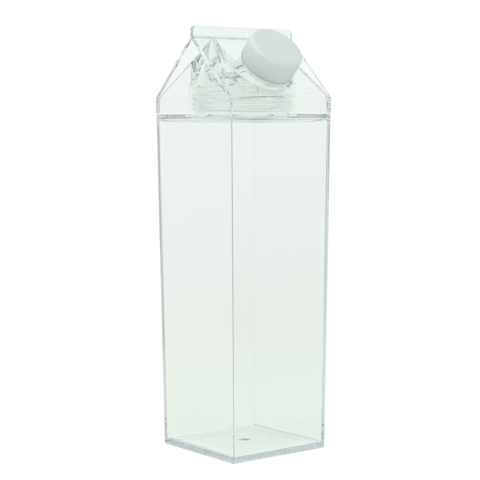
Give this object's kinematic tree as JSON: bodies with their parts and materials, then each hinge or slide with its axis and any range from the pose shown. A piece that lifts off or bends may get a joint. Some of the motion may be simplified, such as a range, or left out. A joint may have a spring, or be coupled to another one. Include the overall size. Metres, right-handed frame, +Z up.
{
  "type": "acrylic milk carton bottle",
  "caption": "Clear acrylic drinks bottle shaped like a gable-top milk carton, with a screw-on lid and a white screw cap on its spout.",
  "frame": {"origin": "middle of the square foot, on the surface the bottle stands on", "axes": "+Z up, the ridge of the lid along X, the spout looking toward -Y"},
  "size_m": [0.062, 0.0677, 0.2099],
  "materials": {
    "clear_acrylic": "clear, polished",
    "white_plastic": "white, satin"
  },
  "bodies": {
    "root": {"bottle_body": "clear_acrylic", "gable_lid": "clear_acrylic", "screw_cap": "white_plastic"}
  },
  "joints": []
}
